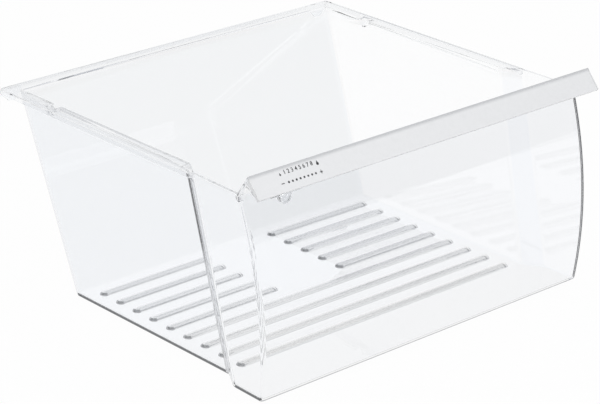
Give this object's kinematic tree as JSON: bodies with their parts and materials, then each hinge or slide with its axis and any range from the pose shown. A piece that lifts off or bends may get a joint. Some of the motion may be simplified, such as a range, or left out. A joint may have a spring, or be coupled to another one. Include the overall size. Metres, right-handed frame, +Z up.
{
  "type": "refrigerator crisper drawer",
  "caption": "Clear moulded fridge crisper drawer with a leaning back, shouldered sides, a bowed front panel, a pull lip with a pale trim strip and a humidity slide.",
  "frame": {"origin": "on the surface that the drawer stands on, below the middle of its bounding box", "axes": "+X across the drawer to the right as seen from its front, +Y towards its back, +Z up"},
  "size_m": [0.41, 0.3714, 0.2083],
  "materials": {
    "clear_plastic": "clear, polished",
    "pale_trim": "satin",
    "clear_slide": "clear, polished"
  },
  "bodies": {
    "drawer": {"pan": "clear_plastic", "handle_trim": "pale_trim"},
    "slide": {"humidity_slide": "clear_slide"}
  },
  "joints": [
    {"name": "humidity_slide_travel", "type": "slide", "parent": "drawer", "child": "slide", "axis": [1, 0, 0], "range_m": [0, 0.047]}
  ]
}
